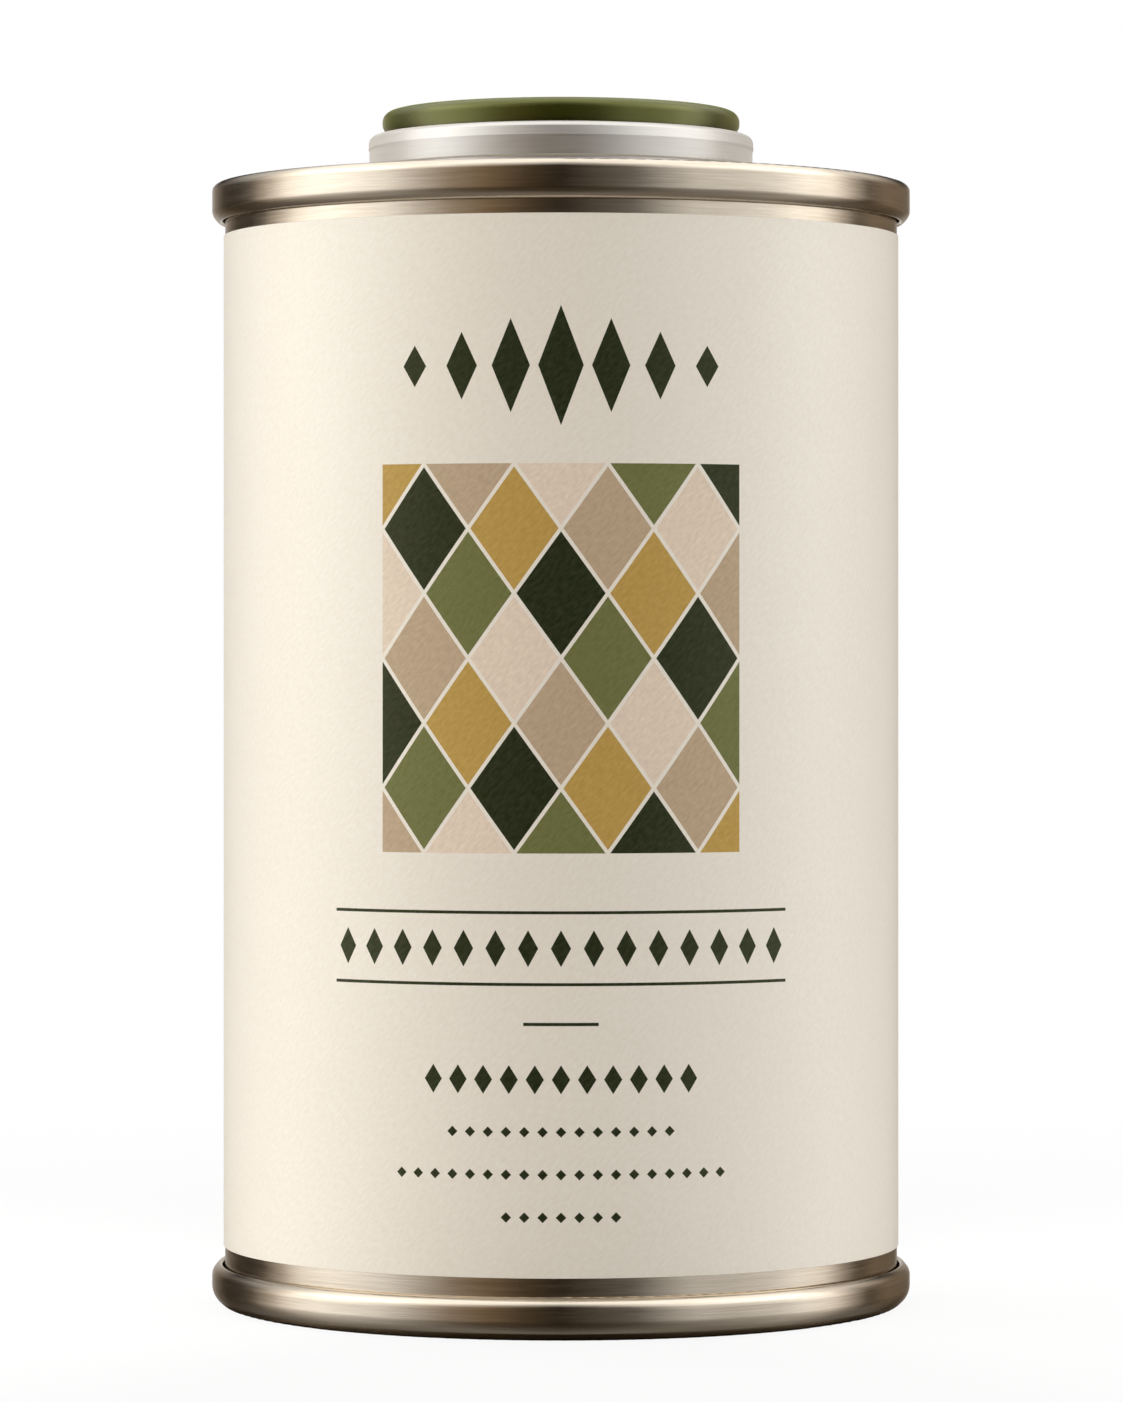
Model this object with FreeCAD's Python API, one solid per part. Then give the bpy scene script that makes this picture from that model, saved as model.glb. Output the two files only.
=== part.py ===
import FreeCAD, Part
import math
import os

# Olive oil tin with a pull-up spout: a welded tinplate body with two double-seamed ends, a paper wrap label,
# and a plastic pouring closure that an aluminium collar holds on the tin's neck.
# Millimetres, +Z up, origin at the centre of the base, the front of the label towards -Y.

# Tin: the plates, the body wall and the height over both seams.
tin_height = 121.75
body_radius = 36.65
body_plate = 0.22
end_plate = 0.25

# Double seams, shared by both ends: gaps between the hooked layers, play of the hooks, bends of the plate.
hook_gap = 0.227
chuck_gap = 0.35
crown_clearance = 0.034
cover_hook_play = 0.45
body_hook_play = 1.1
fold_bend = 0.06
toe_rise = 0.8
toe_flat = 0.474
toe_bend = 1.0
heel_bend = 0.05
hook_bend = 0.05

# The outer edge of a seam falls away over its crown: tight at the top, full and round at the base.
top_seam_height = 4.05
top_crown_run = 0.42
top_crown_rise = 0.42
top_crown_bends = (0.45, 0.45)
base_seam_height = 4.45
base_crown_run = 1.33
base_crown_rise = 1.116
base_crown_bends = (0.85, 1.95)

# Lining compound in a seam: its clearance from the plates, and from where the crown falls away.
lining_clearance = 0.05
lining_setback = 0.2

# End panels: depths below the seam's edge, the countersink groove beside the chuck wall, bends.
panel_depth = 4.0
countersink_depth = 5.0
countersink_width = 1.2
countersink_lean = 0.25
chuck_lean = 0.4
panel_bend = 0.3

# Stiffening bead pressed up in the top panel, at its share of the way from the collar to the panel's edge.
bead_place_share = 0.46554
bead_width = 3.0
bead_rise = 0.5

# Expansion rings of the base: two steps, each one deeper into the tin.
inner_ring_radius = 14.0
outer_ring_radius = 25.0
ring_step = 0.5

# Paper label: glue line, paper, bare bands of tin above and below, and the lap at the back.
glue_line = 0.03
paper = 0.12
bare_band_top = 1.5
bare_band_base = 1.98
lap_width = 9.0
lap_bearing = 90.0

# Neck of the top end: gap from its curl to the collar, height of the crest over the panel, roll of the curl.
curl_gap = 0.22
neck_height = 7.4
neck_root_bend = 0.8
curl_inside_radius = 0.55

# Closure stack on the neck: gasket, flange and the small seating gap between them.
seat_gap = 0.02
gasket_thickness = 0.6
gasket_margin = 0.15
flange_thickness = 1.05
flange_play = 0.2

# Aluminium collar: wall, leaning bead round the top, lip turned in, groove rolled in under the curl.
collar_plate = 0.3
collar_radius = 20.92
collar_bead_proud = 0.11
collar_bead_height = 1.45
collar_bead_lean = 0.12
collar_step = 0.2
collar_step_bend = 0.05
collar_crown_bend = 0.5
collar_lip_width = 2.2
collar_foot_gap = 0.3
crimp_drop = 0.2
crimp_depth = 0.3
crimp_half_floor = 0.12
crimp_bend = 0.1

# Pour spout: wall, sliding fit, stop bead at the foot, flare of the pour lip and its gap to the cap's skirt.
spout_wall = 1.4
spout_length = 30.0
spout_stroke = 17.8
slide_gap = 0.05
stop_ledge = 1.0
stop_height = 2.0
lip_gap = 1.0
lip_flare = 1.7
lip_height = 2.6
lip_edge = 0.9
lip_land = 1.2
lip_blend = 4.0
spout_round = 0.2

# Ledge in the spout's bore and the seal that is torn off it: membrane, post, pull ring with room round it.
seal_depth = 6.5
ledge_width = 0.7
ledge_height = 0.8
tear_gap = 0.06
membrane_thickness = 0.8
ring_gap = 2.5
ring_wire_radius = 0.8
ring_depth = 2.0
post_radius = 0.9

# Spout base: sleeve round the spout, nest for the cap's skirt, plug ring in the neck.
sleeve_wall = 1.2
snap_ledge = 0.45
snap_height = 0.8
nest_gap = 1.3
nest_wall = 1.2
nest_floor = 1.3
nest_round = 0.4
plug_gap = 0.1
plug_wall = 1.0
plug_depth = 4.4

# Cap: round-edged rim over the collar's lip, shallow dish, skirt with a snap bead in the nest, foam liner.
cap_setback = 1.53
cap_rim_thickness = 2.5
cap_rim_round = 1.15
cap_gap = 0.2
cap_roof = 1.5
dish_margin = 3.9
dish_depth = 0.5
dish_round = 0.6
skirt_wall = 1.2
skirt_gap = 0.3
skirt_floor_gap = 0.6
skirt_bead = 0.2
skirt_bead_height = 1.2
skirt_round = 0.3
liner_thickness = 1.2
liner_margin = 0.15
mouth_gap = 0.05

# Places that follow from the sizes above, from the wall outwards and then from the base upwards.
full_turn = 360.0
same_point = 1e-6
axis = FreeCAD.Vector(0, 0, 1)
origin = FreeCAD.Vector(0, 0, 0)

chuck_radius = body_radius - body_plate - chuck_gap - end_plate
cover_hook_radius = body_radius + hook_gap
body_hook_radius = cover_hook_radius + end_plate + hook_gap
seam_radius = body_hook_radius + body_plate + hook_gap + end_plate
flange_depth = max(top_crown_rise, base_crown_rise) + crown_clearance
cover_hook_tip = flange_depth + cover_hook_play
panel_radius = chuck_radius - chuck_lean - countersink_width - countersink_lean

panel_top = tin_height - panel_depth
curl_radius = curl_inside_radius + end_plate
curl_crest = panel_top + neck_height
curl_centre = curl_crest - curl_radius
collar_inside = collar_radius - collar_plate
neck_bore_radius = collar_inside - curl_gap - curl_radius * 2
bead_radius = collar_radius + (panel_radius - collar_radius) * bead_place_share
gasket_foot = curl_crest + seat_gap
flange_foot = gasket_foot + gasket_thickness + seat_gap
flange_top = flange_foot + flange_thickness
flange_radius = collar_inside - flange_play
collar_top = flange_top + seat_gap + collar_plate
cap_foot = collar_top + cap_gap
cap_top = cap_foot + cap_rim_thickness
liner_top = cap_top - cap_roof - seat_gap
liner_foot = liner_top - liner_thickness
mouth = liner_foot - mouth_gap

plug_radius = neck_bore_radius - plug_gap
plug_inside = plug_radius - plug_wall
nest_outside = plug_inside - nest_gap
nest_radius = nest_outside - nest_wall
skirt_radius = nest_radius - skirt_gap
skirt_bore_radius = skirt_radius - skirt_wall
cap_radius = collar_radius + collar_bead_proud - cap_setback
dish_radius = cap_radius - dish_margin

spout_radius = skirt_bore_radius - lip_gap - lip_flare
spout_bore_radius = spout_radius - spout_wall
ring_radius = spout_bore_radius - ring_gap - ring_wire_radius
stop_radius = spout_radius + stop_ledge
spout_foot = mouth - spout_length
ledge_top = mouth - seal_depth
sleeve_radius = stop_radius + slide_gap
floor_foot = spout_foot + stop_height + spout_stroke + slide_gap
floor_top = floor_foot + nest_floor
skirt_foot = floor_top + skirt_floor_gap


def rounded_face(corners):
    """A face in the XZ plane through (radius, height, rounding) corners, each rounded by a tangent arc.

    Roundings that are together too large for the edge between them are cut back to fit it.
    """
    places = [FreeCAD.Vector(radius, 0, height) for radius, height, rounding in corners]
    runs = [after - here for here, after in zip(places, places[1:] + places[:1])]
    aheads = [FreeCAD.Vector(run).normalize() for run in runs]
    backs = [-ahead for ahead in aheads[-1:] + aheads[:-1]]
    half_angles = [back.getAngle(ahead) / 2 for back, ahead in zip(backs, aheads)]
    reaches = [corner[2] / math.tan(half_angle) for corner, half_angle in zip(corners, half_angles)]
    needs = [reach + next_reach for reach, next_reach in zip(reaches, reaches[1:] + reaches[:1])]
    fits = [min(run.Length / need, 1) if need else 1 for run, need in zip(runs, needs)]
    starts = []
    crests = []
    ends = []
    for index, here in enumerate(places):
        fit = min(fits[index - 1], fits[index])
        reach = reaches[index] * fit
        rounding = corners[index][2] * fit
        inset = rounding / math.sin(half_angles[index]) - rounding
        starts.append(here + backs[index] * reach)
        ends.append(here + aheads[index] * reach)
        crests.append(here + (backs[index] + aheads[index]).normalize() * inset if rounding else None)
    edges = []
    for start, crest, end, following_start in zip(starts, crests, ends, starts[1:] + starts[:1]):
        if crest:
            edges.append(Part.Arc(start, crest, end).toShape())
        if (following_start - end).Length > same_point:
            edges.append(Part.makeLine(end, following_start))
    return Part.Face(Part.Wire(edges))


def turned(corners):
    """The solid of revolution of a closed outline, whichever way round its corners are listed."""
    solid = rounded_face(corners).revolve(origin, axis, full_turn)
    if solid.Volume < 0:
        solid.reverse()
    return solid


def sheet(path, plate):
    """Outline of a bent plate. The path is its outer face, with the inside radius of each bend.

    The plate's thickness lies to the left of the path, with radius to the right and height upwards.
    """
    runs = []
    for (radius, height, bend), (next_radius, next_height, next_bend) in zip(path[:-1], path[1:]):
        length = math.hypot(next_radius - radius, next_height - height)
        runs.append(((next_radius - radius) / length, (next_height - height) / length))
    face = []
    back = []
    arrivals = runs[:1] + runs
    departures = runs + runs[-1:]
    for (radius, height, bend), arrive, depart in zip(path, arrivals, departures):
        turn = arrive[0] * depart[1] - arrive[1] * depart[0]
        spread = plate / (1 + arrive[0] * depart[0] + arrive[1] * depart[1])
        back_radius = radius - (arrive[1] + depart[1]) * spread
        back_height = height + (arrive[0] + depart[0]) * spread
        outside = bend + plate if bend else 0
        face.append((radius, height, outside if turn > 0 else bend))
        back.append((back_radius, back_height, bend if turn > 0 else outside))
    return face + back[::-1]


def from_top(corners, level):
    """The same outline with its heights counted downwards from a level."""
    return [(radius, level - height, rounding) for radius, height, rounding in corners]


def ring_sector(inner, outer, foot, top, bearing, sweep):
    """Part of a ring, centred on a bearing in degrees from +X."""
    face = rounded_face([(inner, foot, 0), (outer, foot, 0), (outer, top, 0), (inner, top, 0)])
    face.rotate(origin, axis, bearing - sweep / 2)
    return face.revolve(origin, axis, sweep)


def seam_path(height, crown_run, crown_rise, crown_bends):
    """An end's plate from the tin's edge over the crown, down the seam and back up as the cover hook."""
    return [
        (chuck_radius, 0, fold_bend),
        (seam_radius - crown_run, 0, crown_bends[0]),
        (seam_radius, crown_rise, crown_bends[1]),
        (seam_radius, height - toe_rise, toe_bend),
        (cover_hook_radius + toe_flat, height, heel_bend),
        (cover_hook_radius, height, hook_bend),
        (cover_hook_radius, cover_hook_tip, 0),
    ]


def countersink_path():
    """An end's plate from its panel through the countersink groove to the foot of the chuck wall."""
    groove_radius = chuck_radius - chuck_lean
    return [
        (panel_radius, panel_depth, panel_bend),
        (panel_radius + countersink_lean, countersink_depth, panel_bend),
        (groove_radius, countersink_depth, panel_bend),
    ]


def make_tin_body():
    """The cylinder wall, flanged outwards and down at each end into a body hook."""
    flange_bend = (body_hook_radius - body_radius) / 2
    path = [
        (body_hook_radius, base_seam_height - body_hook_play, 0),
        (body_hook_radius, flange_depth, flange_bend),
        (body_radius, flange_depth, flange_bend),
        (body_radius, tin_height - flange_depth, flange_bend),
        (body_hook_radius, tin_height - flange_depth, flange_bend),
        (body_hook_radius, tin_height - top_seam_height + body_hook_play, 0),
    ]
    return turned(sheet(path, body_plate))


def make_top_end():
    """The top: curled neck, panel with its bead, countersink, chuck wall and seam."""
    neck_radius = neck_bore_radius + end_plate
    curl_top = tin_height - curl_centre - curl_inside_radius
    curl_foot = tin_height - curl_centre + curl_inside_radius
    bead_inner = bead_radius - bead_width / 2
    bead_outer = bead_radius + bead_width / 2
    path = [
        (neck_radius + curl_inside_radius, curl_foot, 0),
        (neck_radius + curl_inside_radius * 2, curl_foot, curl_inside_radius),
        (neck_radius + curl_inside_radius * 2, curl_top, curl_inside_radius),
        (neck_radius, curl_top, curl_inside_radius),
        (neck_radius, panel_depth, neck_root_bend),
        (bead_inner, panel_depth, panel_bend),
        (bead_inner + bead_rise, panel_depth - bead_rise, panel_bend),
        (bead_outer - bead_rise, panel_depth - bead_rise, panel_bend),
        (bead_outer, panel_depth, panel_bend),
    ]
    path = path + countersink_path()
    path = path + seam_path(top_seam_height, top_crown_run, top_crown_rise, top_crown_bends)
    return turned(from_top(sheet(path, end_plate), tin_height))


def make_bottom_end():
    """The base: stepped panel, countersink, chuck wall and seam."""
    path = [
        (0, panel_depth + ring_step * 2, 0),
        (inner_ring_radius, panel_depth + ring_step * 2, panel_bend),
        (inner_ring_radius + ring_step, panel_depth + ring_step, panel_bend),
        (outer_ring_radius, panel_depth + ring_step, panel_bend),
        (outer_ring_radius + ring_step, panel_depth, panel_bend),
    ]
    path = path + countersink_path()
    path = path + seam_path(base_seam_height, base_crown_run, base_crown_rise, base_crown_bends)
    return turned(sheet(path, end_plate))


def lining_outline(crown_run, crown_rise):
    """Section of the compound between the flange of the body and the end plate that is folded over it."""
    inner = chuck_radius + end_plate + lining_clearance
    outer = cover_hook_radius
    top = end_plate + lining_clearance
    foot = flange_depth - body_plate - lining_clearance
    fall_start = min(seam_radius - crown_run - lining_setback, outer - lining_clearance)
    fall = (outer - fall_start) * crown_rise / crown_run
    return [(inner, top, 0), (fall_start, top, 0), (outer, top + fall, 0), (outer, foot, 0), (inner, foot, 0)]


def make_top_seam_compound():
    """Lining ring of the top seam."""
    return turned(from_top(lining_outline(top_crown_run, top_crown_rise), tin_height))


def make_bottom_seam_compound():
    """Lining ring of the bottom seam."""
    return turned(lining_outline(base_crown_run, base_crown_rise))


def make_label():
    """The paper wrap, two papers thick over the lap."""
    inner = body_radius + glue_line
    foot = base_seam_height + bare_band_base
    top = tin_height - top_seam_height - bare_band_top
    wrap = turned([(inner, foot, 0), (inner + paper, foot, 0), (inner + paper, top, 0), (inner, top, 0)])
    lap_sweep = math.degrees(lap_width / inner)
    lap = ring_sector(inner, inner + paper * 2, foot, top, lap_bearing, lap_sweep)
    return wrap.fuse(lap).removeSplitter()


def make_neck_gasket():
    """Flat ring on the crest of the neck's curl."""
    inner = neck_bore_radius + gasket_margin
    outer = flange_radius - gasket_margin
    top = gasket_foot + gasket_thickness
    return turned([(inner, gasket_foot, 0), (outer, gasket_foot, 0), (outer, top, 0), (inner, top, 0)])


def make_crimp_collar():
    """The rolled ring: lip over the flange, bead, wall with the crimp groove under the curl, plain foot."""
    bead_radius_outside = collar_radius + collar_bead_proud
    bead_foot = collar_top - collar_bead_height
    crimp = curl_centre - curl_radius - crimp_drop
    crimp_reach = crimp_half_floor + crimp_depth
    path = [
        (collar_radius, panel_top + collar_foot_gap, 0),
        (collar_radius, crimp - crimp_reach, crimp_bend),
        (collar_radius - crimp_depth, crimp - crimp_half_floor, crimp_bend),
        (collar_radius - crimp_depth, crimp + crimp_half_floor, crimp_bend),
        (collar_radius, crimp + crimp_reach, crimp_bend),
        (collar_radius, bead_foot - collar_step, collar_step_bend),
        (bead_radius_outside, bead_foot, collar_step_bend),
        (bead_radius_outside - collar_bead_lean, collar_top, collar_crown_bend),
        (bead_radius_outside - collar_lip_width, collar_top, 0),
    ]
    return turned(sheet(path, collar_plate))


def make_spout_base():
    """The fixed moulding of the closure: sleeve, nest and plug ring under one flange."""
    sleeve_outside = sleeve_radius + sleeve_wall
    sleeve_foot = spout_foot - slide_gap - snap_height
    snap_radius = stop_radius - snap_ledge
    plug_foot = flange_foot - plug_depth
    lip_radius = spout_radius + slide_gap
    return turned([
        (snap_radius, sleeve_foot, 0),
        (sleeve_outside, sleeve_foot, spout_round),
        (sleeve_outside, floor_foot, nest_round),
        (nest_outside, floor_foot, nest_round),
        (nest_outside, flange_foot, nest_round),
        (plug_inside, flange_foot, spout_round),
        (plug_inside, plug_foot, spout_round),
        (plug_radius, plug_foot, spout_round),
        (plug_radius, flange_foot, 0),
        (flange_radius, flange_foot, 0),
        (flange_radius, flange_top, spout_round),
        (nest_radius, flange_top, nest_round),
        (nest_radius, floor_top, nest_round),
        (lip_radius, floor_top, spout_round),
        (lip_radius, floor_foot, 0),
        (sleeve_radius, floor_foot, 0),
        (sleeve_radius, spout_foot - slide_gap, 0),
        (snap_radius, spout_foot - slide_gap, 0),
    ])


def make_pour_spout():
    """The sliding tube: stop bead, flared pour lip with a flat land, ledge in the bore for the seal."""
    lip_radius = spout_radius + lip_flare
    land_radius = lip_radius - lip_land
    ledge_radius = spout_bore_radius - ledge_width
    return turned([
        (spout_bore_radius, spout_foot, 0),
        (stop_radius, spout_foot, spout_round),
        (stop_radius, spout_foot + stop_height, spout_round),
        (spout_radius, spout_foot + stop_height, 0),
        (spout_radius, mouth - lip_height, lip_blend),
        (lip_radius, mouth - lip_edge, spout_round),
        (lip_radius, mouth, spout_round),
        (land_radius, mouth, spout_round),
        (spout_bore_radius, mouth - lip_height, lip_blend),
        (spout_bore_radius, ledge_top, 0),
        (ledge_radius, ledge_top, 0),
        (ledge_radius, ledge_top - ledge_height, 0),
        (spout_bore_radius, ledge_top - ledge_height - ledge_width, 0),
    ])


def make_tear_out_seal():
    """Membrane on the bore's ledge, with a pull ring on a post at the front."""
    membrane_foot = ledge_top + seat_gap
    membrane_radius = spout_bore_radius - tear_gap
    membrane_top = membrane_foot + membrane_thickness
    ring_height = mouth - ring_depth
    membrane = turned([
        (0, membrane_foot, 0),
        (membrane_radius, membrane_foot, 0),
        (membrane_radius, membrane_top, 0),
        (0, membrane_top, 0),
    ])
    ring = Part.makeTorus(ring_radius, ring_wire_radius, FreeCAD.Vector(0, 0, ring_height), axis)
    post_foot = FreeCAD.Vector(0, -ring_radius, membrane_foot)
    post = Part.makeCylinder(post_radius, ring_height - membrane_foot, post_foot, axis)
    return membrane.fuse([ring, post]).removeSplitter()


def make_cap():
    """Press-on cap: round-edged rim, shallow dish, skirt with a snap bead near its foot."""
    roof = cap_top - cap_roof
    dish_floor = cap_top - dish_depth
    bead_crest = skirt_foot + skirt_bead_height
    return turned([
        (skirt_bore_radius, skirt_foot, spout_round),
        (skirt_radius, skirt_foot, skirt_round),
        (skirt_radius, bead_crest - skirt_bead * 2, skirt_round),
        (skirt_radius + skirt_bead, bead_crest, skirt_bead),
        (skirt_radius, bead_crest + skirt_bead * 2, skirt_round),
        (skirt_radius, cap_foot, skirt_round),
        (cap_radius, cap_foot, cap_rim_round),
        (cap_radius, cap_top, cap_rim_round),
        (dish_radius, cap_top, dish_round),
        (dish_radius - dish_depth, dish_floor, dish_round),
        (0, dish_floor, 0),
        (0, roof, 0),
        (skirt_bore_radius, roof, spout_round),
    ])


def make_cap_liner():
    """Foam disc under the cap's roof."""
    radius = skirt_bore_radius - liner_margin
    return turned([
        (0, liner_foot, 0),
        (radius, liner_foot, spout_round),
        (radius, liner_top, spout_round),
        (0, liner_top, 0),
    ])


pieces = {
    "tin_body": make_tin_body(),
    "top_end": make_top_end(),
    "bottom_end": make_bottom_end(),
    "top_seam_compound": make_top_seam_compound(),
    "bottom_seam_compound": make_bottom_seam_compound(),
    "label": make_label(),
    "neck_gasket": make_neck_gasket(),
    "crimp_collar": make_crimp_collar(),
    "spout_base": make_spout_base(),
    "pour_spout": make_pour_spout(),
    "tear_out_seal": make_tear_out_seal(),
    "cap": make_cap(),
    "cap_liner": make_cap_liner(),
}

os.makedirs("parts", exist_ok=True)
for name, shape in pieces.items():
    shape.exportStep("parts/" + name + ".step")
    print(name, len(shape.Solids), shape.isValid(), round(shape.Volume, 2))
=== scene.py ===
import math
import bpy
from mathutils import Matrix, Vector


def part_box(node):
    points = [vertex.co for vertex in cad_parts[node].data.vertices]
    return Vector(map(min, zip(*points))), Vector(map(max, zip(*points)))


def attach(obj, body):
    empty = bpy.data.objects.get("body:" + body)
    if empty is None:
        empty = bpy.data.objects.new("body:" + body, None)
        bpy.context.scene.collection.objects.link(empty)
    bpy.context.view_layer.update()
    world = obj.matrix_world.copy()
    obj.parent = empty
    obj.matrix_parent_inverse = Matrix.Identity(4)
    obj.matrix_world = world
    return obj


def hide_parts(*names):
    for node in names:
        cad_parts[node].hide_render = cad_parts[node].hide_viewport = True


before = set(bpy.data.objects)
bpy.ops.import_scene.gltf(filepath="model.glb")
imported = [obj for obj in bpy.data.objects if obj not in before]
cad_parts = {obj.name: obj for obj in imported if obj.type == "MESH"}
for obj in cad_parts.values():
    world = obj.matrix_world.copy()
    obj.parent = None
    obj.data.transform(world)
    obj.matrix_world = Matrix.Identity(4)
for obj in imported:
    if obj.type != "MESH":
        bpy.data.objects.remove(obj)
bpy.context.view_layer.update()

# Body wall: tinplate rolled to a cylinder and welded down the back, flanged at both ends for the seams.
# The steel is brushed round the tin and lacquered champagne. A band of it shows above and below the label.


class Socket:
    """A value in a node tree. Arithmetic on it adds Math nodes, and node() adds any other node."""

    def __init__(self, tree, socket=None):
        self.tree = tree
        self.socket = socket

    def feed(self, target, value):
        """Links a node's socket to a value, or sets it to a plain number, colour or vector."""
        if isinstance(value, Socket):
            self.tree.links.new(value.socket, target)
        else:
            target.default_value = value

    def node(self, kind, settings, sockets, output=0):
        """Adds a node of any kind: settings first, then sockets. A ramp's stops are places and colours."""
        made = self.tree.nodes.new("ShaderNode" + kind)
        for name, value in settings.items():
            if name == "stops":
                stops = made.color_ramp.elements
                for index, (place, colour) in enumerate(value):
                    stop = stops[index] if index < 2 else stops.new(place)
                    stop.position = place
                    stop.color = colour
            elif name == "interpolation":
                made.color_ramp.interpolation = value
            else:
                setattr(made, name, value)
        for name, value in sockets.items():
            self.feed(made.inputs[name], value)
        return Socket(self.tree, made.outputs[output])

    def math(self, operation, *values):
        return self.node("Math", {"operation": operation}, dict(enumerate(values)))

    def blend(self, low, high):
        """A colour between two others, by this value."""
        return self.node("Mix", {"data_type": "RGBA"}, {0: self, 6: low, 7: high}, 2)

    def clamped(self):
        return self.node("Clamp", {}, {"Value": self})

    def __add__(self, other):
        return self.math("ADD", self, other)

    def __radd__(self, other):
        return self.math("ADD", other, self)

    def __sub__(self, other):
        return self.math("SUBTRACT", self, other)

    def __rsub__(self, other):
        return self.math("SUBTRACT", other, self)

    def __mul__(self, other):
        return self.math("MULTIPLY", self, other)

    def __rmul__(self, other):
        return self.math("MULTIPLY", other, self)

    def __truediv__(self, other):
        return self.math("DIVIDE", self, other)

    def __mod__(self, other):
        return self.math("FLOORED_MODULO", self, other)

    def __abs__(self):
        return self.math("ABSOLUTE", self)

    def __lt__(self, other):
        return self.math("LESS_THAN", self, other)

    def __gt__(self, other):
        return self.math("GREATER_THAN", self, other)


def finish(name):
    """A new material, the start of its node expressions, and its shader's inputs."""
    made = bpy.data.materials.new(name)
    made.use_nodes = True
    return made, Socket(made.node_tree), made.node_tree.nodes["Principled BSDF"].inputs


def object_place(nodes):
    """Where a point lies, in the tin's frame."""
    return nodes.node("TexCoord", {}, {}, "Object")


def round_the_axis(nodes):
    """Bearing from the front in radians, distance from the axis and height, in metres."""
    place = object_place(nodes)
    x, y, z = [nodes.node("SeparateXYZ", {}, {0: place}, name) for name in "XYZ"]
    bearing = nodes.math("ARCTAN2", x, 0 - y)
    radius = nodes.math("SQRT", x * x + y * y)
    return bearing, radius, z


def grain(nodes, vector, scale, detail=2, rough=0.5):
    """Noise between about 0.3 and 0.7."""
    sockets = {"Vector": vector, "Scale": scale, "Detail": detail, "Roughness": rough}
    return nodes.node("TexNoise", {}, sockets)


def roughened(nodes, shader, strength, depth, relief, face=None):
    """Fine relief on a surface, with its depth in metres, over the mesh's own direction or another one."""
    sockets = {"Strength": strength, "Distance": depth, "Height": relief}
    if face:
        sockets["Normal"] = face
    nodes.feed(shader["Normal"], nodes.node("Bump", {}, sockets))


def dressed(node_name, material):
    """Gives a CAD node its finish."""
    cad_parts[node_name].material_slots[0].material = material


weld_half_angle = 0.018
fine_lines_per_metre = 5200
broad_lines_per_metre = 1400
brushing_depth = 0.00002


def brushed_tinplate(name, weld_share, face_of=None):
    """Steel brushed round the axis under champagne lacquer, with the weld as a grey line down the back.

    Where face_of is given, it says where the plate's face looks.
    """
    made, nodes, shader = finish(name)
    bearing, radius, height = round_the_axis(nodes)
    along = bearing * 7
    fine_parts = {0: along, 1: radius * fine_lines_per_metre, 2: height * fine_lines_per_metre}
    broad_parts = {0: along * 0.4, 1: radius * broad_lines_per_metre, 2: height * broad_lines_per_metre}
    fine = nodes.node("CombineXYZ", {}, fine_parts)
    broad = nodes.node("CombineXYZ", {}, broad_parts)
    fine_streaks = grain(nodes, fine, 1, 3, 0.6)
    broad_streaks = grain(nodes, broad, 1)
    cloud = grain(nodes, object_place(nodes), 60, 3)
    streaks = (fine_streaks * 0.6 + broad_streaks * 0.4 - 0.5) * 3 + 0.5
    colour = streaks.clamped().blend((0.5, 0.435, 0.345, 1), (0.62, 0.55, 0.455, 1))
    weld = (abs(abs(bearing) - math.pi) < weld_half_angle) * weld_share
    nodes.feed(shader["Base Color"], weld.blend(colour, (0.16, 0.15, 0.14, 1)))
    nodes.feed(shader["Roughness"], 0.08 + streaks * 0.1 + cloud * 0.04)
    roughened(nodes, shader, 0.15, brushing_depth, streaks, face_of and face_of(nodes))
    shader["Metallic"].default_value = 1
    shader["Coat Weight"].default_value = 0.05
    shader["Coat Roughness"].default_value = 0.1
    return made


dressed("tin_body", brushed_tinplate("body_tinplate", 1))

# Ends: two round plates pressed with a countersink, a bead or rings, and on top the curled neck.
# They are rolled together with the body's flanges into double seams, and have the body's brushed lacquer.

top_edge = 0.12175
seam_inside = 0.03735
top_seam_bends = ((0.03705, 0.12076), (0.0366, 0.11897))
base_seam_bends = ((0.0368, 0.00318), (0.03585, 0.00214))

# In millimetres: the plate, and each corner's distance from the axis, depth under the edge and inside bend.
end_plate = 0.25
bend_margin = 0.05
neck_and_bead = [
    (19.05, -2, 0), (19.05, 4, 0.8), (25.5, 4, 0.3), (26, 3.5, 0.3), (28, 3.5, 0.3), (28.5, 4, 0.3),
]
base_rings = [(0, 5, 0), (14, 5, 0.3), (14.5, 4.5, 0.3), (25, 4.5, 0.3), (25.5, 4, 0.3)]
countersink = [(33.98, 4, 0.3), (34.23, 5, 0.3), (35.43, 5, 0.3), (35.83, 0, 0.06), (37, 0, 0)]


def from_axis(nodes, bearing, outward, upward):
    """A direction of unit length, from its parts away from the axis and upwards."""
    rightward = nodes.math("SINE", bearing) * outward
    backward = 0 - nodes.math("COSINE", bearing) * outward
    direction = nodes.node("CombineXYZ", {}, {0: rightward, 1: backward, 2: upward})
    return nodes.node("VectorMath", {"operation": "NORMALIZE"}, {0: direction})


def chosen_face(nodes, share, otherwise, face):
    """One direction where the share is 1, and another elsewhere."""
    return nodes.node("Mix", {"data_type": "VECTOR"}, {0: share, 4: otherwise, 5: face}, 1)


def rolled_direction(nodes, high_bend, low_bend):
    """Where a seam's outer face looks: straight out between its bends, on them away from their centres.

    Each bend is its centre's distance from the axis and height. Inside the seam's crest the mesh decides.
    """
    bearing, radius, height = round_the_axis(nodes)
    over = nodes.math("MAXIMUM", height - high_bend[1], 0)
    under = nodes.math("MINIMUM", height - low_bend[1], 0)
    is_over = height > high_bend[1]
    outward = radius - is_over * high_bend[0] - (1 - is_over) * low_bend[0]
    face = from_axis(nodes, bearing, outward, over + under)
    return chosen_face(nodes, radius > seam_inside, nodes.node("NewGeometry", {}, {}, "Normal"), face)


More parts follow.
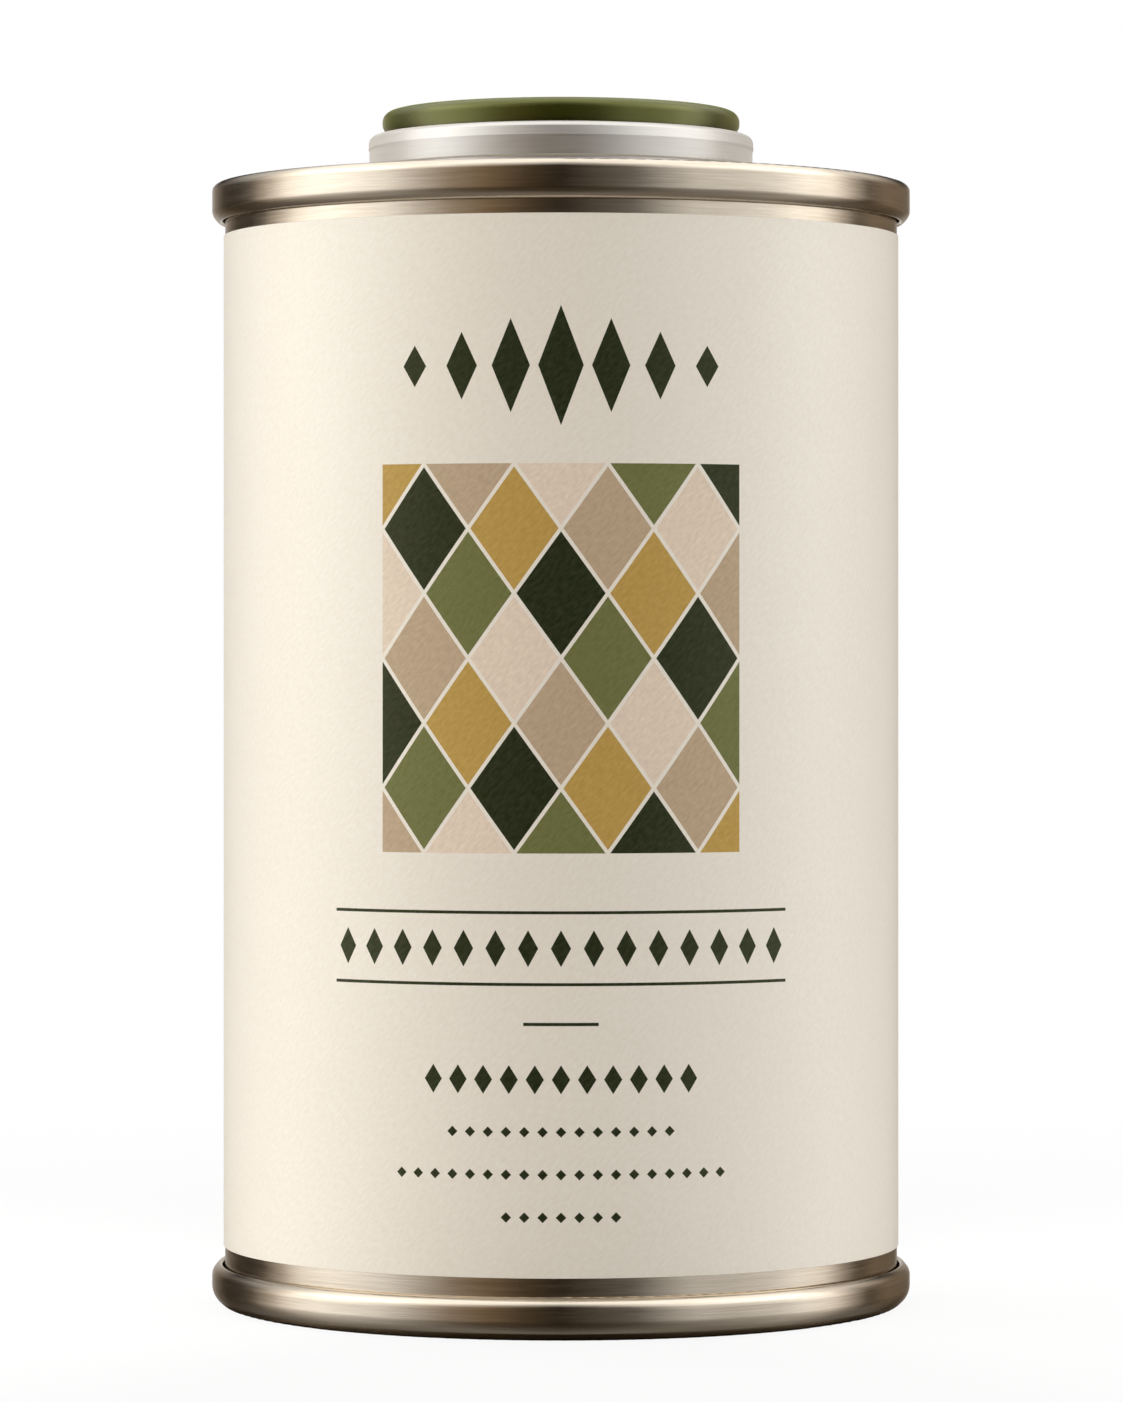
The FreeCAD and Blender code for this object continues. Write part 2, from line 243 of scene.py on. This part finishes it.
def pressed_bends(line, edge, inwards):
    """Centre, direction of the middle, cosine of half the turn, and reach of each bend in a plate."""
    bends = []
    corners = [Vector((radius, depth)) for radius, depth, bend in line]
    for before, here, after, corner in zip(corners, corners[1:], corners[2:], line[1:]):
        arrive = (here - before).normalized()
        depart = (after - here).normalized()
        bend = corner[2] + end_plate if arrive.cross(depart) > 0 else corner[2]
        least = math.cos(arrive.angle(depart) / 2)
        middle = (arrive - depart).normalized()
        centre = (here - middle * bend / least) / 1000
        reach = (corner[2] + end_plate + bend_margin) / 1000
        bends.append((centre.x, edge + inwards * centre.y, middle.x, inwards * middle.y, least, reach))
    return bends


def pressed_direction(nodes, face, bends):
    """Where a pressed plate's face looks: on its bends straight away from or towards their centres."""
    bearing, radius, height = round_the_axis(nodes)
    for centre_radius, centre_height, middle_out, middle_up, least, reach in bends:
        out = radius - centre_radius
        up = height - centre_height
        length = nodes.math("SQRT", out * out + up * up)
        inside = (out * middle_out + up * middle_up > length * least) * (length < reach)
        away = from_axis(nodes, bearing, out, up)
        agreement = nodes.node("VectorMath", {"operation": "DOT_PRODUCT"}, {0: face, 1: away}, "Value")
        side = nodes.math("SIGN", agreement)
        outer = nodes.node("VectorMath", {"operation": "SCALE"}, {0: away, "Scale": side})
        face = chosen_face(nodes, inside, face, outer)
    return face


def top_face(nodes):
    """Where the top end's plate looks."""
    bends = pressed_bends(neck_and_bead + countersink, top_edge, -1)
    return pressed_direction(nodes, rolled_direction(nodes, *top_seam_bends), bends)


def base_face(nodes):
    """Where the base's plate looks."""
    bends = pressed_bends(base_rings + countersink, 0, 1)
    return pressed_direction(nodes, rolled_direction(nodes, *base_seam_bends), bends)


dressed("top_end", brushed_tinplate("top_tinplate", 0, top_face))
dressed("bottom_end", brushed_tinplate("base_tinplate", 0, base_face))

# Lining compound: a ring of brown rubber in each seam, which keeps it tight.
# It is flowed into the end's curl as a liquid, dried, and squeezed flat when the seam is rolled.

uneven_depth = 0.00003


def mottled(name, light, dark, scale, roughness):
    """Plain matt stuff with cloudy colour and a fine uneven skin."""
    made, nodes, shader = finish(name)
    place = object_place(nodes)
    cloud = grain(nodes, place, scale, 4)
    skin = grain(nodes, place, scale * 8)
    nodes.feed(shader["Base Color"], cloud.blend(dark, light))
    nodes.feed(shader["Roughness"], roughness + skin * 0.15)
    roughened(nodes, shader, 0.3, uneven_depth, skin)
    return made


lining_compound = mottled("lining_compound", (0.36, 0.24, 0.15, 1), (0.25, 0.16, 0.1, 1), 300, 0.6)
dressed("top_seam_compound", lining_compound)
dressed("bottom_seam_compound", lining_compound)

# Label: a strip of felt-marked cream paper, printed in five colours, wrapped once round and glued.
# Its far end laps over the near end at the back, where the paper stands one thickness proud.

label_foot, label_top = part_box("label")[0][2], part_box("label")[1][2]
label_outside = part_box("label")[1][0]
label_height = label_top - label_foot
paper = 0.00012
lap_width = 0.009
lap_ramp = 0.002
edge_round = 0.00003
felt_depth = 0.00005
pebbles_per_metre = 2200
turn_steps = 300
lap_steps = 12


def wrapped_paper():
    """The strip as a closed shell, from its near end under the lap round to its far end over it."""
    turn = 2 * math.pi * label_outside
    start = math.pi / 2 - lap_width / 2 / label_outside
    lengths = [turn * step / turn_steps for step in range(turn_steps)]
    lengths = [length for length in lengths if length < turn - lap_ramp]
    lengths += [turn - lap_ramp + lap_ramp * step / lap_steps for step in range(lap_steps)]
    lengths += [turn + lap_width * step / lap_steps for step in range(lap_steps + 1)]
    section = [
        (0, 0), (paper - edge_round, 0), (paper, edge_round),
        (paper, label_height - edge_round), (paper - edge_round, label_height), (0, label_height),
    ]
    points = []
    for length in lengths:
        climb = min(max((length - turn + lap_ramp) / lap_ramp, 0), 1)
        lift = paper * climb * climb * (3 - 2 * climb)
        angle = start + length / label_outside
        for depth, rise in section:
            radius = label_outside - paper + lift + depth
            points.append((radius * math.cos(angle), radius * math.sin(angle), label_foot + rise))
    count = len(section)
    faces = [tuple(reversed(range(count))), tuple(range(len(points) - count, len(points)))]
    for column in range(len(lengths) - 1):
        for row in range(count):
            here = column * count + row
            above = column * count + (row + 1) % count
            faces.append((here, here + count, above + count, above))
    mesh = bpy.data.meshes.new("wrap_label")
    mesh.from_pydata(points, [], faces)
    mesh.validate()
    mesh.update()
    return mesh


wrap_label = bpy.data.objects.new("wrap_label", wrapped_paper())
bpy.context.collection.objects.link(wrap_label)
for face in wrap_label.data.polygons:
    face.use_smooth = True
wrap_label.data.set_sharp_from_angle(angle=math.radians(30))
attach(wrap_label, "tin")
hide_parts("label")


def lozenge(across, up, half_width, half_height):
    """1 inside a lozenge about the point where across and up are zero."""
    return abs(across) / half_width + abs(up) / half_height < 1


def box(across, up, half_width, half_height):
    """1 inside a rectangle about the point where across and up are zero."""
    return (abs(across) < half_width) * (abs(up) < half_height)


def lozenge_row(across, up, pitch, half_width, half_height, each_side):
    """A row of equal lozenges: one in the middle, and as many on each side."""
    nearest = across - across.math("ROUND", across / pitch) * pitch
    return lozenge(nearest, up, half_width, half_height) * (abs(across) < (each_side + 0.5) * pitch)


label_paper, nodes, shader = finish("printed_felt_paper")
bearing, radius, height = round_the_axis(nodes)
place = object_place(nodes)

# Millimetres across from the middle of the front, and up from the table.
across = bearing * label_outside * 1000
up = height * 1000

# Bare paper: short slanting felt marks and faint clouds.
slanted = nodes.node("CombineXYZ", {}, {0: (across + up) * 0.9, 1: (across - up) * 2.1, 2: 0})
felt = (grain(nodes, slanted, 1) - 0.5) * 2.5 + 0.5
cloud = grain(nodes, place, 120, 3)
paper_tone = (felt * 0.7 + cloud * 0.3).clamped()
colour = paper_tone.blend((0.75, 0.7, 0.615, 1), (0.815, 0.775, 0.695, 1))

forest = (0.009, 0.016, 0.003, 1)
olive = (0.14, 0.152, 0.048, 1)
mustard = (0.46, 0.29, 0.07, 1)
taupe = (0.46, 0.345, 0.235, 1)
blush = (0.72, 0.6, 0.49, 1)
paper_show = (0.8, 0.75, 0.65, 1)

# The printed panel is a harlequin of upright lozenges, with a fine line of bare paper between them.
panel_half_width = 19.4
panel_half_height = 20.1
panel_middle = 70.3
lozenge_width = panel_half_width / 2
lozenge_height = panel_half_height / 1.5
printed_half_share = 0.475
slope_one = across / lozenge_width + (up - panel_middle) / lozenge_height
slope_two = across / lozenge_width - (up - panel_middle) / lozenge_height
row_one = nodes.math("FLOOR", slope_one)
row_two = nodes.math("FLOOR", slope_two)
panel_inks = [olive, mustard, blush, forest, taupe]
ink_count = len(panel_inks)
ink_turn = (row_one + row_two * 2) % ink_count
ink_stops = [(index / ink_count, ink) for index, ink in enumerate(panel_inks)]
inks = nodes.node(
    "ValToRGB",
    {"stops": ink_stops, "interpolation": "CONSTANT"},
    {"Fac": (ink_turn + 0.5) / ink_count},
)
printed_one = abs(slope_one - row_one - 0.5) < printed_half_share
printed_two = abs(slope_two - row_two - 0.5) < printed_half_share
panel = box(across, up - panel_middle, panel_half_width, panel_half_height) * printed_one * printed_two
colour = panel.blend(colour, inks)

# Dark ornaments: a fan of lozenges above the panel, and rules and rows of lozenges below it.
fan_height = 100.5
fan_pitch = 5.2
fan_half_width = 18.2
fan_step = nodes.math("ROUND", abs(across) / fan_pitch)
fan_lozenge_half_width = 2.35 - fan_step * 0.35
fan_lozenge_half_height = 6.2 - fan_step * 1.35
beside = abs(across) - fan_step * fan_pitch
fan = lozenge(beside, up - fan_height, fan_lozenge_half_width, fan_lozenge_half_height)
ornaments = fan * (abs(across) < fan_half_width)

# Each rule is its height, half length and half width.
rules = [(44.1, 25.4, 0.16), (36.7, 25.4, 0.16), (32.6, 3.9, 0.17)]

# Each row is its height, pitch, a lozenge's half width and half height, and the count on each side.
rows = [
    (40.4, 3.4, 1.05, 1.9, 7), (26.9, 2.7, 0.95, 1.5, 5),
    (21.5, 1.9, 0.55, 0.55, 6), (17.1, 1.9, 0.55, 0.55, 9), (12.7, 1.9, 0.55, 0.55, 3),
]
for rule_height, half_length, half_width in rules:
    ornaments = ornaments + box(across, up - rule_height, half_length, half_width)
for row_height, pitch, half_width, half_height, each_side in rows:
    ornaments = ornaments + lozenge_row(across, up - row_height, pitch, half_width, half_height, each_side)
ornaments = ornaments.clamped()
colour = ornaments.blend(colour, forest)

# The inks lie thinner on the felt's high spots, and cover the bare paper's gloss.
inked = nodes.math("MAXIMUM", ornaments, panel)
density = 0.9 + paper_tone * 0.2
multiplied = {"data_type": "RGBA", "blend_type": "MULTIPLY"}
colour = nodes.node("Mix", multiplied, {0: inked, 6: colour, 7: density}, 2)
worn = inked * felt.clamped() * 0.022
nodes.feed(shader["Base Color"], worn.blend(colour, paper_show))
nodes.feed(shader["Roughness"], 0.42 - inked * 0.04 + felt * 0.06)
nodes.feed(shader["Coat Weight"], (1 - inked) * 0.8)
pebble = nodes.node("TexVoronoi", {"feature": "SMOOTH_F1"}, {"Vector": place, "Scale": pebbles_per_metre})
roughened(nodes, shader, 0.3, felt_depth, felt * 0.7 + pebble * 0.5)
shader["Coat Roughness"].default_value = 0.36
shader["Coat IOR"].default_value = 1.7
shader["Specular IOR Level"].default_value = 0.35
shader["Specular Tint"].default_value = (1, 1, 0.55, 1)
wrap_label.data.materials.append(label_paper)

# Gasket: a flat ring of dark rubber, which seals the closure to the neck.
# It is punched from sheet and lies on the crest of the neck's curl, pressed tight by the collar.

dressed("neck_gasket", mottled("gasket_rubber", (0.03, 0.03, 0.03, 1), (0.018, 0.018, 0.018, 1), 400, 0.55))

# Collar: a ring of thin aluminium with a bead round its top and a lip turned in over the closure.
# It is drawn, satin anodised, and rolled in under the neck's curl so that it clamps the closure.

collar_outside = 0.0208
bead_foot = 0.12571
bead_top = 0.12666
bead_lean = 0.2
drawn_lines_per_metre = 4200


def leaning(nodes, bearing, lean, share):
    """Straight out with a lean upwards where the share is 1, and elsewhere as the mesh looks."""
    out = from_axis(nodes, bearing, 1, lean)
    return chosen_face(nodes, share, nodes.node("NewGeometry", {}, {}, "Normal"), out)


satin_aluminium, nodes, shader = finish("satin_aluminium")
bearing, radius, height = round_the_axis(nodes)
line_parts = {0: bearing * 3, 1: radius * drawn_lines_per_metre, 2: height * drawn_lines_per_metre}
drawn = grain(nodes, nodes.node("CombineXYZ", {}, line_parts), 1, 3, 0.6)
cloud = grain(nodes, object_place(nodes), 90, 3)
aslant = nodes.node("LayerWeight", {}, {"Blend": 0.5}, "Facing")
aslant = nodes.node("MapRange", {}, {"Value": aslant, "From Min": 0.4, "From Max": 0.75, "To Max": 0.45})
nodes.feed(shader["Base Color"], drawn.blend((0.49, 0.475, 0.445, 1), (0.63, 0.615, 0.585, 1)))
nodes.feed(shader["Roughness"], 0.36 + drawn * 0.08 + cloud * 0.08 + aslant)
outer_wall = (radius > collar_outside) * (height < bead_top)
face = leaning(nodes, bearing, (height > bead_foot) * bead_lean, outer_wall)
roughened(nodes, shader, 0.15, brushing_depth, drawn, face)
shader["Metallic"].default_value = 1
shader["Sheen Weight"].default_value = 1
shader["Sheen Roughness"].default_value = 0.5
shader["Sheen Tint"].default_value = (1, 0.97, 0.92, 1)
dressed("crimp_collar", satin_aluminium)

# Spout base, spout and seal: moulded in natural polyethylene, milky and a little soft to the touch.
# The base is clamped under the collar, the spout slides in its sleeve, and the seal hangs on a thin web.

skin_depth = 0.00002


def natural_polyethylene(name, light, dark):
    """Milky translucent plastic with faint flow marks and a satin skin."""
    made, nodes, shader = finish(name)
    place = object_place(nodes)
    flow = nodes.node("TexNoise", {}, {"Vector": place, "Scale": 120, "Detail": 3, "Distortion": 1.2})
    skin = grain(nodes, place, 2500)
    nodes.feed(shader["Base Color"], flow.blend(dark, light))
    nodes.feed(shader["Roughness"], 0.36 + skin * 0.16)
    roughened(nodes, shader, 0.2, skin_depth, skin)
    shader["Subsurface Weight"].default_value = 0.25
    shader["Subsurface Radius"].default_value = (0.002, 0.002, 0.0018)
    shader["Subsurface Scale"].default_value = 0.5
    return made


milky = natural_polyethylene("natural_polyethylene", (0.83, 0.83, 0.79, 1), (0.74, 0.74, 0.69, 1))
clear_milky = natural_polyethylene("seal_polyethylene", (0.86, 0.86, 0.83, 1), (0.78, 0.78, 0.74, 1))
dressed("spout_base", milky)
dressed("pour_spout", milky)
dressed("tear_out_seal", clear_milky)

# Cap: a shallow lid moulded in olive green plastic, with a fine satin skin and a round edge.
# It is pressed on: its skirt plugs into the spout base round the spout, with its rim on the collar's lip.

edge_inside = 0.0172
edge_foot = 0.1274
edge_middle = 0.12851

olive_plastic, nodes, shader = finish("olive_plastic")
place = object_place(nodes)
bearing, radius, height = round_the_axis(nodes)
skin = grain(nodes, place, 3200)
flow = nodes.node("TexNoise", {}, {"Vector": place, "Scale": 90, "Detail": 3, "Distortion": 0.8})
nodes.feed(shader["Base Color"], flow.blend((0.017, 0.022, 0.0018, 1), (0.023, 0.029, 0.0026, 1)))
nodes.feed(shader["Roughness"], 0.16 + skin * 0.08 + flow * 0.04)
low_edge = (radius > edge_inside) * (height > edge_foot) * (height < edge_middle)
roughened(nodes, shader, 0.12, skin_depth, skin, leaning(nodes, bearing, 0, low_edge))
shader["Sheen Weight"].default_value = 0.5
shader["Sheen Roughness"].default_value = 0.4
shader["Sheen Tint"].default_value = (0.75, 0.8, 0.3, 1)
shader["Specular IOR Level"].default_value = 1
shader["Specular Tint"].default_value = (0.98, 1, 0.36, 1)
dressed("cap", olive_plastic)

# Liner: a soft white disc in the cap that closes on the spout's pour lip.
# It is punched from closed-cell foam and held in the cap's skirt under the roof.

dressed("cap_liner", mottled("liner_foam", (0.86, 0.86, 0.83, 1), (0.78, 0.78, 0.75, 1), 1200, 0.6))

# Studio: a white sweep inside a light tent, lit through its left and right sides and weakly from above.
# It is dark in front and behind the sides, which gives the round metal its dark middle and edges.

white = (1, 1, 1, 1)
ambient = 0.1
floor_half_side = 1.2
painted_reflection_height = 0.00002


def seen_rays(nodes):
    """1 for rays that show the background itself: the camera's, and mirrored or refracted ones."""
    camera, glossy, through = [
        nodes.node("LightPath", {}, {}, name)
        for name in ("Is Camera Ray", "Is Glossy Ray", "Is Transmission Ray")
    ]
    return nodes.math("MAXIMUM", nodes.math("MAXIMUM", camera, glossy), through)


world = bpy.data.worlds.new("studio")
bpy.context.scene.world = world
world.use_nodes = True
nodes = Socket(world.node_tree)
backdrop = world.node_tree.nodes["Background"].inputs
backdrop["Color"].default_value = white
nodes.feed(backdrop["Strength"], ambient + seen_rays(nodes) * (1 - ambient))


def stage_piece(name, points, faces, surface):
    """A mesh that belongs to the studio, with its material."""
    mesh = bpy.data.meshes.new(name)
    mesh.from_pydata(points, [], faces)
    mesh.materials.append(surface)
    made = bpy.data.objects.new(name, mesh)
    bpy.context.collection.objects.link(made)
    return made


def bare_material(name):
    """A material with no shader yet, and the start of its node expressions."""
    made = bpy.data.materials.new(name)
    made.use_nodes = True
    made.node_tree.nodes.clear()
    return made, Socket(made.node_tree)


def show(material, nodes, surface):
    """Sends a shader to the material's output."""
    output = material.node_tree.nodes.new("ShaderNodeOutputMaterial")
    nodes.feed(output.inputs["Surface"], surface)


def square(half_side, height):
    """Corners and face of a level square about the axis."""
    corners = [(-1, -1), (1, -1), (1, 1), (-1, 1)]
    return [(half_side * x, half_side * y, height) for x, y in corners], [(0, 1, 2, 3)]


def fade(nodes, value, start, end, first, last):
    """A smooth change between two levels."""
    ends = {"Value": value, "From Min": start, "From Max": end, "To Min": first, "To Max": last}
    return nodes.node("MapRange", {"interpolation_type": "SMOOTHSTEP"}, ends)


# The sweep shows white and takes the tin's shadow near its foot. White cards lie to the left and right.
shadow_inside, shadow_outside = 0.06, 0.3
cards_inside, cards_outside = 0.08, 0.22
sweep, nodes = bare_material("white_sweep")
bearing, radius, height = round_the_axis(nodes)
shadow = fade(nodes, radius, shadow_inside, shadow_outside, 0.1, 0)
beside_tin = fade(nodes, abs(nodes.math("SINE", bearing)), 0.3, 0.8, 0, 0.4)
cards = beside_tin * fade(nodes, radius, cards_inside, cards_outside, 1, 0)
paint = nodes.node("BsdfDiffuse", {}, {"Color": 0.56 + cards})
glow = nodes.node("Emission", {}, {"Color": white, "Strength": 1})
show(sweep, nodes, nodes.node("MixShader", {}, {0: seen_rays(nodes) * (1 - shadow), 1: paint, 2: glow}))
stage_piece("floor", *square(floor_half_side, 0), sweep)

# A dark brown glossy sheet on the sweep shows only in the metal: a painted reflection of a dark table under
# the tin, where the camera sees white.
painted_reflection_gloss, nodes, shader = finish("painted_reflection_gloss")
shader["Base Color"].default_value = (0.05, 0.036, 0.022, 1)
shader["Specular Tint"].default_value = (1, 0.93, 0.82, 1)
shader["Roughness"].default_value = 0.1
shader["IOR"].default_value = 1.7
shader["Coat Weight"].default_value = 1
shader["Coat Roughness"].default_value = 0.1
painted_reflection_sheet = stage_piece("painted_reflection_sheet", *square(floor_half_side, painted_reflection_height), painted_reflection_gloss)
# The painted reflection's sheet is hidden from the camera, from diffuse light and from shadows.
painted_reflection_sheet.visible_camera = False
painted_reflection_sheet.visible_diffuse = False
painted_reflection_sheet.visible_shadow = False

# Light through the tent's sides: degrees from the front, brightness and warmth.
tent_radius = 1.0
tent_brightest = 2.0
tent_glow = [
    (-180, 0.75, 0.2), (-168, 0.5, 0.3), (-158, 0.26, 0.6), (-144, 0.05, 1), (-130, 0.03, 1),
    (-120, 0.1, 0.8), (-108, 0.72, 0.4), (-98, 1.65, 0.1), (-84, 2, 0), (-72, 1.75, 0),
    (-60, 1.4, 0), (-48, 0.84, 0.15), (-36, 0.43, 0.6), (-24, 0.27, 1), (-12, 0.1, 1),
    (0, 0.025, 0.9), (12, 0.12, 0.5), (24, 0.2, 0.2), (44, 0.95, 0), (60, 1, 0),
    (74, 1.2, 0), (86, 1.7, 0), (98, 1.55, 0.1), (108, 0.65, 0.4), (118, 0.1, 0.8),
    (132, 0.24, 0.9), (148, 0.2, 0.9), (160, 0.18, 0.8), (170, 0.4, 0.4), (180, 0.75, 0.2),
]
warm_loss = (0, 0.28, 0.55)


def dome(radius, columns, rows):
    """Points and faces of half a sphere on the floor."""
    points = [(0, 0, radius)]
    for row in range(1, rows + 1):
        tilt = math.pi / 2 * row / rows
        ring = radius * math.sin(tilt)
        for column in range(columns):
            angle = 2 * math.pi * column / columns
            points.append((ring * math.cos(angle), ring * math.sin(angle), radius * math.cos(tilt)))
    faces = [(0, 1 + (column + 1) % columns, 1 + column) for column in range(columns)]
    for row in range(rows - 1):
        first = 1 + row * columns
        for column in range(columns):
            here = first + column
            beside = first + (column + 1) % columns
            faces.append((here, beside, beside + columns, here + columns))
    return points, faces


tent_cloth, nodes = bare_material("tent_cloth")
bearing, radius, height = round_the_axis(nodes)
stops = []
for degrees, glow, warmth in tent_glow:
    tone = [glow * (1 - loss * warmth) / tent_brightest for loss in warm_loss]
    stops.append(((degrees + 180) / 360, tone + [1]))
sides = nodes.node("ValToRGB", {"stops": stops}, {"Fac": bearing / (2 * math.pi) + 0.5})
rise = height / tent_radius
rightward = nodes.math("SINE", bearing)
behind = 0 - nodes.math("COSINE", bearing)
mirrored = nodes.node("LightPath", {}, {}, "Is Glossy Ray")

# From above: a soft light in the metal, and on matt surfaces a ring and the flanks behind the tin.
aside = abs(rightward * radius) / tent_radius
overhead = nodes.math("POWER", ((rise + aside * 0.45 - 0.45) / 0.55).clamped(), 2.5) * 1.8
ring = fade(nodes, rise, 0.34, 0.52, 0, 0.35) * fade(nodes, rise, 0.78, 0.97, 1, 0.04)
flanks = fade(nodes, behind, 0.2, 0.5, 0, 1) * fade(nodes, behind, 0.75, 0.95, 1, 0.2)
flanks = flanks * fade(nodes, rightward, -0.4, 0.4, 2.2, 1.5)
roof_glow = mirrored * overhead + (1 - mirrored) * (ring + flanks)

# From the sides: as the table says in the metal, and stronger on matt surfaces, most from the front.
fill = fade(nodes, rightward, -0.2, 0.6, 1, 0.8) * fade(nodes, abs(rightward), 0.5, 0.95, 2.85, 1.72)
lighting = mirrored + (1 - mirrored) * fill
back_top = fade(nodes, behind, 0.8, 0.95, 0, 1) * fade(nodes, rise, 0.2, 0.38, 0, 1)
side_glow = fade(nodes, rise, 0.5, 0.85, 1, 0.05) * lighting * tent_brightest * (1 - back_top)
side_light = nodes.node("Emission", {}, {"Color": sides, "Strength": side_glow})
roof_light = nodes.node("Emission", {}, {"Color": white, "Strength": roof_glow})
show(tent_cloth, nodes, nodes.node("AddShader", {}, {0: side_light, 1: roof_light}))
tent = stage_piece("tent", *dome(tent_radius, 72, 18), tent_cloth)
tent.visible_camera = False

# A soft lamp behind the tin, which shows in no reflection.
lamp_width, lamp_height = 0.8, 0.5
lamp_distance, lamp_middle = 0.9, 0.35
lamp_radiance = 1.2
lamp = bpy.data.lights.new("back_fill", "AREA")
lamp.shape = "RECTANGLE"
lamp.size = lamp_width
lamp.size_y = lamp_height
lamp.energy = lamp_radiance * math.pi * lamp_width * lamp_height
back_fill = bpy.data.objects.new("back_fill", lamp)
bpy.context.collection.objects.link(back_fill)
back_fill.location = (0, lamp_distance, lamp_middle)
back_fill.rotation_euler = (math.pi / 2, 0, math.pi)
back_fill.visible_glossy = False

# The camera stands level in front of the tin, with a long lens.
camera_distance, camera_height = 0.6334, 0.0711
camera = bpy.data.cameras.new("camera")
camera.lens = 148.83
camera.sensor_width = 36
camera.shift_y = -0.036
camera_object = bpy.data.objects.new("camera", camera)
bpy.context.collection.objects.link(camera_object)
camera_object.location = (0, -camera_distance, camera_height)
camera_object.rotation_euler = (math.pi / 2, 0, 0)
bpy.context.scene.camera = camera_object
bpy.context.scene.view_settings.view_transform = "Standard"
